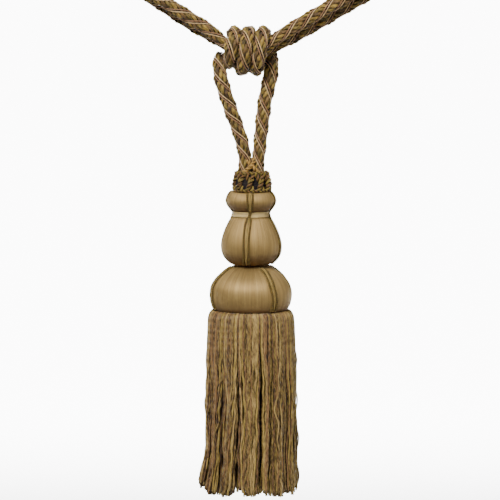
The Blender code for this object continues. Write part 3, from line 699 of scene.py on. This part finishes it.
to_front = np.array([0.0, -1.0, 0.0])
for tie in TIE_LINES:
    line, _ = even_steps(smooth_curve(np.array(tie) * MM), TIE_STEP)
    two_ply_cord(ruff_yarns, line + np.array(KNOT), np.broadcast_to(to_front, line.shape), TIE_RADIUS,
                 TIE_LAY, CORD_SIDES, 0.7, (TIE, TIE))
line = np.linspace(*FILLER_ENDS, 8) * MM + np.array(KNOT)
ruff_yarns.add(line, np.broadcast_to(to_front, line.shape), FILLER_RADIUS, sides=7, shade=0.3, finish=BROWN)
ruff = ruff_yarns.as_object("ruff_cords", [OLIVE_CORD, BROWN_CORD, SHADE_LINING_CORD, TIE_CORD])
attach(ruff, "root")
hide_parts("ruff")

# ---------------------------------------------------------------- satin moulds
# The vase and the dome are turned wooden moulds. Satin floss is laid over them lengthwise, from hole
# to hole, so that it shines in bands across.

FLOSS_SEGMENTS = 320  # of the mesh round a mould
FLOSS_STEP = 0.7 * MM  # down its outline
FLOSS_ENDS = 420  # ends of floss round a mould
FLOSS_BUNCHES = 46  # broader bands of them
FLOSS_DRIFT = 28  # how soon an end's tone changes along it
ENDS_SHARE = 1.2  # of the fine ends in the floss's tone
BANDS_SHARE = 1.1  # of the broad bands
# the floss is painted darker where it faces down, as painted shade
UNDERSIDE_SHADE_FROM = 0.02  # how far the floss faces down where its painted underside shade begins
UNDERSIDE_SHADE_TO = 0.62
UNDERSIDE_SHADE_SHARE = 0.8
FLOSS_ROUGHNESS = 0.62
FLOSS_METAL = 0.7
FLOSS_RELIEF = 0.2 * MM
RIB_WAVES = (37, 58, 83, 121)  # round a mould
RIB_HEIGHT = 0.03 * MM
RIBS_FADE_BELOW = 15 * MM  # radius below which the ribs sink


def satin_material(name, dark, light, under):
    """Satin floss: fine ends side by side, each a little lighter or darker, and painted darker where it turns
    under, as painted shade.
    """
    made, tree, shader = start_material(name, FLOSS_ROUGHNESS, 0)
    shader.inputs["Anisotropic"].default_value = 0.5
    shader.inputs["Metallic"].default_value = FLOSS_METAL
    turn = add_node(tree, "ShaderNodeSeparateXYZ", {
        "Vector": add_node(tree, "ShaderNodeUVMap", uv_map="yarn").outputs["UV"]})
    across = maths(tree, "MULTIPLY", turn.outputs["X"], FLOSS_ENDS)
    along = maths(tree, "MULTIPLY", turn.outputs["Y"], FLOSS_DRIFT)
    spot = add_node(tree, "ShaderNodeCombineXYZ", {"X": across, "Y": along}).outputs[0]
    ends = add_node(tree, "ShaderNodeTexNoise", {"Vector": spot, "Scale": 0.8, "Detail": 2}).outputs["Fac"]
    broad = add_node(tree, "ShaderNodeCombineXYZ", {
        "X": maths(tree, "MULTIPLY", turn.outputs["X"], FLOSS_BUNCHES), "Y": along}).outputs[0]
    bands = add_node(tree, "ShaderNodeTexNoise", {"Vector": broad, "Scale": 1.0, "Detail": 2}).outputs["Fac"]
    tone = maths(tree, "ADD", maths(tree, "MULTIPLY", ends, ENDS_SHARE),
                 maths(tree, "MULTIPLY", bands, BANDS_SHARE))
    tone = maths(tree, "SUBTRACT", tone, (ENDS_SHARE + BANDS_SHARE - 1) / 2)
    clamped = add_node(tree, "ShaderNodeClamp", {"Value": tone}).outputs[0]
    turned_under = add_node(tree, "ShaderNodeAttribute", attribute_name="under").outputs["Fac"]
    painted_underside_shade = add_node(tree, "ShaderNodeMapRange", {
        "Value": turned_under, "From Min": UNDERSIDE_SHADE_FROM, "From Max": UNDERSIDE_SHADE_TO, "To Min": 0.0,
        "To Max": UNDERSIDE_SHADE_SHARE}, interpolation_type="SMOOTHSTEP").outputs["Result"]
    # painted shade: the floss is blended towards the under colour where it faces down
    tree.links.new(blend(tree, painted_underside_shade, blend(tree, clamped, dark, light), under), shader.inputs["Base Color"])
    thread = maths(tree, "SINE", maths(tree, "MULTIPLY", across, math.tau))
    height = maths(tree, "ADD", maths(tree, "MULTIPLY", thread, 0.25), ends)
    bump = add_node(tree, "ShaderNodeBump", {"Height": height, "Strength": 0.5, "Distance": FLOSS_RELIEF})
    tree.links.new(bump.outputs["Normal"], shader.inputs["Normal"])
    return made


# the third colour is the painted shade on the floss's undersides
SATIN = satin_material("satin_floss_wrap", (0.20, 0.122, 0.038), (0.42, 0.285, 0.108), (0.155, 0.092, 0.042))


def outline_of(node):
    """The rows of radius and height, top first, of a turned node, about the tassel's axis."""
    rows = {}
    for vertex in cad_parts[node].data.vertices:
        radius = math.hypot(vertex.co.x - KNOT.x, vertex.co.y)
        height = round(vertex.co.z - KNOT.z, 5)
        rows[height] = max(radius, rows.get(height, 0))
    return [(rows[height], height) for height in sorted(rows, reverse=True)]


def turned(name, outline, finish):
    """A smooth closed form turned about the tassel's axis, with faint ribs where the floss bunches."""
    rows = smooth_curve([(radius, height, 0) for radius, height in outline], 6)
    rows, along = even_steps(rows, FLOSS_STEP)
    angles = math.tau * np.arange(FLOSS_SEGMENTS) / FLOSS_SEGMENTS
    ribs = np.zeros(FLOSS_SEGMENTS)
    for waves in RIB_WAVES:
        ribs += np.sin(waves * angles + chance.uniform(0, math.tau))
    points = []
    for radius, height, _ in rows:
        reach = radius + RIB_HEIGHT * ribs * min(1, radius / RIBS_FADE_BELOW)
        points.append(round_axis(reach, angles, np.full(FLOSS_SEGMENTS, height))[0])
    count = len(points)
    mesh = bpy.data.meshes.new(name)
    faces, coords = [], []
    for row in range(count - 1):
        here = row * FLOSS_SEGMENTS
        below = here + FLOSS_SEGMENTS
        top, foot = along[row:row + 2]
        for k in range(FLOSS_SEGMENTS):
            n = (k + 1) % FLOSS_SEGMENTS
            faces.append((here + k, below + k, below + n, here + n))
            left = k / FLOSS_SEGMENTS
            right = (k + 1) / FLOSS_SEGMENTS
            coords += [(left, top), (left, foot), (right, foot), (right, top)]
    for first, order in ((0, 1), ((count - 1) * FLOSS_SEGMENTS, -1)):
        faces.append(list(range(first, first + FLOSS_SEGMENTS))[::order])
        coords += [(0, 0)] * FLOSS_SEGMENTS
    mesh.from_pydata(np.concatenate(points).tolist(), [], faces)
    mesh.uv_layers.new(name="yarn").data.foreach_set("uv", np.array(coords).ravel())
    # how far the floss faces down, which sets its painted underside shade
    slope = np.gradient(np.array(rows)[:, :2], axis=0)
    under = np.clip(-slope[:, 0] / np.linalg.norm(slope, axis=1), 0, 1)
    mesh.attributes.new("under", "FLOAT", "POINT").data.foreach_set("value", np.repeat(under, FLOSS_SEGMENTS))
    mesh.materials.append(finish)
    mesh.shade_smooth()
    made = bpy.data.objects.new(name, mesh)
    bpy.context.scene.collection.objects.link(made)
    return made


for name, node in (("vase_floss", "vase_mould"), ("dome_floss", "dome_mould")):
    mould = turned(name, outline_of(node), SATIN)
    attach(mould, "root")
    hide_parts(node)

# ---------------------------------------------------------------- waist binding
# A narrow band of the same floss is wound round the vase's waist, over the laid floss and under the gimps,
# and covers the turn from bead to bulb. Its colour is painted lighter than the laid floss, as a painted
# highlight across the waist.

# lighter than the laid floss: a painted highlight
BINDING_FLOSS = yarn_material("binding_floss", (0.30, 0.20, 0.07), (0.58, 0.43, 0.18),
                              fibres=2, lay=0.02, roughness=0.5, sheen=0)
BINDING_TURNS = 9
BINDING_POINTS = 72  # a turn
BINDING_RADIUS = 0.36 * MM
BINDING_INSET = 0.2 * MM  # from the profile to the floss's line
BINDING_PROFILE = (
    # radius, height in mm from the knot's middle
    (14.6, -124.7), (14.2, -125.7), (14.05, -126.6), (14.2, -127.6), (14.6, -128.5),
)
profile_radii, profile_heights = np.array(BINDING_PROFILE).T * MM
winding = np.linspace(0, 1, BINDING_TURNS * BINDING_POINTS)
heights = profile_heights[0] + winding * (profile_heights[-1] - profile_heights[0])
radii = np.interp(-heights, -profile_heights, profile_radii) - BINDING_INSET
line, outward = round_axis(radii, winding * math.tau * BINDING_TURNS, heights)
binding_yarns = Yarns()
binding_yarns.add(line, outward, BINDING_RADIUS, sides=6, shade=0.6)
binding = binding_yarns.as_object("waist_floss", [BINDING_FLOSS])
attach(binding, "root")
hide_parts("waist_binding")

# ---------------------------------------------------------------- gimps
# A gimp is a flat trim: two dark twisted cords on either side of a gold one. Four are glued down the
# vase over its binding, and four down the dome.

GIMP_LOOK = {"fibres": 4, "lay": 0.0025}
GIMP_DARK = yarn_material("gimp_dark_cord", (0.055, 0.031, 0.004), (0.22, 0.142, 0.022), **GIMP_LOOK)
GIMP_GOLD = yarn_material("gimp_gold_cord", (0.26, 0.16, 0.035), (0.56, 0.39, 0.12),
                          roughness=0.45, **GIMP_LOOK)
VASE_GIMP_LINE = (
    # radius, height, width in mm, turn in degrees
    (15.5, -109.7, 5.9, 7), (17.8, -113.0, 5.9, 7), (18.8, -116.4, 5.9, 7), (18.1, -119.4, 5.6, 7),
    (16.5, -121.9, 4.8, 7), (14.6, -124.4, 3.1, 7), (14.05, -126.6, 2.4, 6), (14.65, -128.7, 3.1, 4),
    (15.2, -130.6, 4.8, 3), (18.0, -135.6, 5.9, 1), (21.4, -143.0, 5.9, 0), (23.2, -151.0, 5.9, 0),
    (22.6, -157.2, 5.9, 0), (20.3, -161.6, 5.9, -1), (16.8, -165.0, 5.6, -3),
)
DOME_GIMP_LINE = (
    # radius, height, width in mm, turn in degrees
    (15.8, -168.5, 5.6, -3), (18.0, -169.4, 5.9, -2), (22.6, -172.6, 5.9, -1), (28.1, -178.0, 5.9, -2),
    (31.3, -183.7, 5.9, -2), (32.3, -189.7, 5.9, 0), (31.7, -195.0, 5.9, 0), (30.3, -199.0, 5.9, 0),
    (29.3, -200.6, 5.9, 0),
)
VASE_GIMP_AZIMUTHS = (-9, 79, 171, 248)  # degrees from the front towards +X
DOME_GIMP_AZIMUTHS = (35, 118, 204, 291)
GIMP_EDGE_RADIUS = 0.56 * MM
GIMP_CORDS = (
    # place across the gimp from -1 to 1, radius of each of the cord's plies, dark 0 or gold 1
    (-1, GIMP_EDGE_RADIUS, 0), (1, GIMP_EDGE_RADIUS, 0), (0, 0.44 * MM, 1),
)
GIMP_EDGE_INSET = GIMP_EDGE_RADIUS * 1.6
GIMP_LIFT = 0.7  # from the mould to a cord's line, in radii of the ply
GIMP_NARROW = 2.9 * MM  # the width at which the middle cord's line is down on the mould
GIMP_STEP = 0.55 * MM
GIMP_CORD_LAY = 3.2 * MM


def gimp(name, azimuth, table, node):
    """Three two-ply cords laid side by side down a mould's outline from one azimuth."""
    rows = smooth_curve([(r * MM, h * MM, width * MM, math.radians(azimuth + turn))
                         for r, h, width, turn in table], 8)
    yarns = Yarns()
    for place, radius, finish in GIMP_CORDS:
        spread = place * (rows[:, 2] / 2 - GIMP_EDGE_INSET)
        angles = rows[:, 3] - math.pi / 2
        fall = spread ** 2 / (2 * rows[:, 0])
        line, outward = round_axis(rows[:, 0] - fall, angles, rows[:, 1])
        sideways = np.stack([-np.sin(angles), np.cos(angles), np.zeros_like(angles)], 1)
        line = line + sideways * spread[:, None]
        ahead = unit(np.gradient(line, axis=0))
        normal = unit(np.cross(sideways, ahead))
        normal *= np.sign((normal * outward).sum(1, keepdims=True) + 1e-9)
        lift = np.ones(len(rows)) if place else np.clip((rows[:, 2] - GIMP_NARROW) / MM, -0.5, 1)
        line = line + normal * radius * GIMP_LIFT * lift[:, None]
        both, _ = even_steps(np.hstack([line, normal]), GIMP_STEP)
        two_ply_cord(yarns, both[:, :3], both[:, 3:], radius, GIMP_CORD_LAY, 6, 0.4, (finish, finish))
    made = yarns.as_object(name, [GIMP_DARK, GIMP_GOLD])
    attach(made, "root")
    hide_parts(node)


for number, azimuth in enumerate(VASE_GIMP_AZIMUTHS, 1):
    gimp(f"vase_gimp_cords_{number}", azimuth, VASE_GIMP_LINE, f"vase_gimp_{number}")
for number, azimuth in enumerate(DOME_GIMP_AZIMUTHS, 1):
    gimp(f"dome_gimp_cords_{number}", azimuth, DOME_GIMP_LINE, f"dome_gimp_{number}")

# ---------------------------------------------------------------- skirt
# The skirt is cut yarn, looped over a heading that is glued up inside the dome. It comes out under
# the dome's edge, hangs in soft locks with gaps between them, and is trimmed nearly level.

SKIRT_ROOT_Z = -202.4 * MM
SKIRT_SHOULDER_Z = -208.0 * MM
SKIRT_DROP = 137.0 * MM
SKIRT_SPREAD = (
    # share of the drop, radius as a share of the shoulder's
    (0.0, 1.0), (0.07, 1.015), (0.25, 1.04), (0.6, 1.055), (0.8, 1.06), (1.0, 1.07),
)
FRONT = -math.pi / 2
LOCK_GAPS = (
    # azimuth from the front towards +X, half of the gap that opens there in radians, next lock's drop
    (-2.95, 0.030, 1.0), (-2.45, 0.040, 0.99), (-2.00, 0.035, 1.0), (-1.55, 0.040, 0.955),
    (-1.12, 0.030, 1.0), (-0.72, 0.035, 0.995), (-0.315, 0.045, 0.985), (0.235, 0.047, 0.975),
    (0.46, 0.020, 0.997), (0.93, 0.030, 1.0), (1.38, 0.035, 0.99), (1.86, 0.040, 1.0),
    (2.35, 0.035, 0.99), (2.85, 0.040, 1.0),
)
SKIRT_HEAD = (
    # where a strand comes out: radius as a share of the ring's, share of the way from root to shoulder
    (0.875, 0), (0.935, 0.16), (0.976, 0.54),
)
OPENING_START = 0.12  # share of the drop where the gaps between the locks begin to open
OPENING_RUN = 0.4  # share of the drop over which they open
OPENING_REACH = 1.15  # how far the strands move aside, in half gaps
LOCK_GATHER = 0.03  # radians that a lock's own strands draw together
LOCK_BULGE = 0.022  # share of the radius by which a lock's middle stands out from its edges
SWEEP_START = 0.80  # share of the drop below which the left locks sweep aside
SWEPT = (-1.7, -0.315)  # azimuths between which they do
SWEEP_ASIDE = 0.13  # radians
SIDE_FLARE = 0.17  # share of the radius by which the tips stand out on the left side
OUTER_RINGS = (
    # strands, radius and a strand's radius in mm, points down a strand, looseness, lightness (below 1,
    # painted shade)
    (185, 32.8, 0.76, 36, 1.0, 1.0), (150, 31.2, 0.8, 30, 1.0, 0.7), (13, 33.2, 0.62, 48, 3.0, 1.0),
)
OUTER_SIDES = 6
INNER_RINGS = (
    # strands, radius in mm
    (100, 29.0), (80, 26.4), (64, 23.2), (52, 19.6), (40, 15.6), (26, 11.0), (14, 6.0), (4, 1.8),
)
INNER_SIDES = 5
INNER_STRAND = {"yarn_radius": 1.0 * MM, "sections": 22, "looseness": 1.2, "lightness": 1.0}
DYES = (0.42, 0.38, 0.20)  # share of the strands in each of the three yarns below

# crevice sets the painted shade on the strands' sides turned inward
FRINGE_LOOK = {"fibres": 3, "lay": 0.0045, "crevice": 0.25}
FRINGE = yarn_material("fringe_yarn_cut", (0.05, 0.025, 0.005), (0.36, 0.237, 0.078),
                       roughness=0.58, mottle=2.2, **FRINGE_LOOK)
FRINGE_GOLD = yarn_material("fringe_yarn_gold", (0.065, 0.036, 0.005), (0.34, 0.227, 0.055),
                            roughness=0.58, mottle=2.2, **FRINGE_LOOK)
FRINGE_BROWN = yarn_material("fringe_yarn_brown", (0.03, 0.013, 0.004), (0.24, 0.13, 0.045),
                             roughness=0.6, mottle=2.0, **FRINGE_LOOK)


def lock_at(azimuth):
    """A strand's phase in its lock, half a turn at the gaps, how far it moves aside, and its lock's drop."""
    edges = (*LOCK_GAPS, (LOCK_GAPS[0][0] + math.tau, *LOCK_GAPS[0][1:]))
    azimuth = (azimuth - edges[0][0]) % math.tau + edges[0][0]
    for (low, low_half, drop), (high, high_half, _) in zip(edges, edges[1:]):
        if azimuth <= high:
            across = (azimuth - low) / (high - low)
            return math.tau * (across - 0.5), low_half * (1 - across) - high_half * across, drop


def chance_wave(size, share, slowest, fastest):
    """A wave down one strand, at a rate between two and from anywhere in its turn."""
    return size * np.sin(share * chance.uniform(slowest, fastest) + chance.uniform(0, 6.3))


def hanging_line(angle, radius, drop, sections, looseness):
    """One strand's centres: out under the dome's edge, over the shoulder, and down in its lock."""
    share = np.linspace(0, 1, sections) ** 0.9  # of the drop, in steps that shorten towards the tip
    loose = np.minimum(1, share * 3)
    azimuth = (angle - FRONT + math.pi) % math.tau - math.pi
    phase, aside, lock_drop = lock_at(azimuth)
    opening = np.clip((share - OPENING_START) / OPENING_RUN, 0, 1)
    sweep = np.clip((share - SWEEP_START) / (1 - SWEEP_START), 0, 1)

    # whole locks sway together, and each strand kinks a little on its own
    sway = 0.018 * np.sin(7.5 * share + 2 * math.sin(angle)) * loose
    sway += 0.012 * np.sin(15 * share + 3 * math.sin(2 * angle + 1)) * loose
    sway -= SWEEP_ASIDE * sweep * (SWEPT[0] < azimuth < SWEPT[1])
    kink = chance_wave(looseness * 0.012, share, 24, 48) * loose
    kink += chance_wave(looseness * 0.020, share, 5, 9) * loose
    angles = angle + OPENING_REACH * aside * opening - LOCK_GATHER * math.sin(phase) * opening + sway + kink

    spread = np.interp(share, *np.array(SKIRT_SPREAD).T)
    ripple = 1 + 0.010 * np.sin(9 * share + 5 * angle) * loose + LOCK_BULGE * math.cos(phase) * loose
    ripple += chance_wave(looseness * 0.012, share, 14, 30) * loose
    flare = SIDE_FLARE * max(0, -math.cos(angle)) ** 6 * sweep
    head_radii, head_shares = np.array(SKIRT_HEAD).T
    radii = np.concatenate([radius * head_radii, radius * (spread * ripple + flare)])
    heights = np.concatenate([SKIRT_ROOT_Z + (SKIRT_SHOULDER_Z - SKIRT_ROOT_Z) * head_shares,
                              SKIRT_SHOULDER_Z - drop * lock_drop * share])
    angles = np.concatenate([np.full(len(SKIRT_HEAD), angle), angles])
    return round_axis(radii, angles, heights)


def skirt_ring(yarns, sides, count, radius, yarn_radius, sections, looseness, lightness):
    """One ring of strands round the tassel."""
    for k in range(count):
        angle = math.tau * (k + chance.uniform(-0.3, 0.3)) / count
        drop = SKIRT_DROP * chance.uniform(0.968, 1.01)
        line, outward = hanging_line(angle, radius * chance.uniform(0.985, 1.01), drop, sections, looseness)
        thick = yarn_radius * chance.uniform(0.85, 1.15)
        finish = int(chance.choice([0, 1, 2], p=DYES))
        # lightness below 1 lowers a ring's tone: painted shade on the ring under the outer one
        yarns.add(line, outward, thick, sides, chance.uniform(-0.1, 1.1) + lightness - 1, finish)


outer = Yarns()
for count, radius, yarn_radius, *make in OUTER_RINGS:
    skirt_ring(outer, OUTER_SIDES, count, radius * MM, yarn_radius * MM, *make)
inner = Yarns()
for count, radius in INNER_RINGS:
    skirt_ring(inner, INNER_SIDES, count, radius * MM, **INNER_STRAND)
for name, yarns in (("skirt_outer_strands", outer), ("skirt_inner_strands", inner)):
    strands = yarns.as_object(name, [FRINGE, FRINGE_GOLD, FRINGE_BROWN])
    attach(strands, "root")
    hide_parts("skirt")

# ---------------------------------------------------------------- floor finish
# The floor is plain pale card.

CARD_DARK = (0.93, 0.93, 0.93)
CARD_LIGHT = (0.96, 0.96, 0.96)
card, card_tree, card_shader = start_material("pale_card", roughness=0.9, sheen=0)
grain = add_node(card_tree, "ShaderNodeTexNoise", {"Scale": 3, "Detail": 2}).outputs["Fac"]
card_tree.links.new(blend(card_tree, grain, CARD_DARK, CARD_LIGHT), card_shader.inputs["Base Color"])
floor_mesh.materials.append(card)
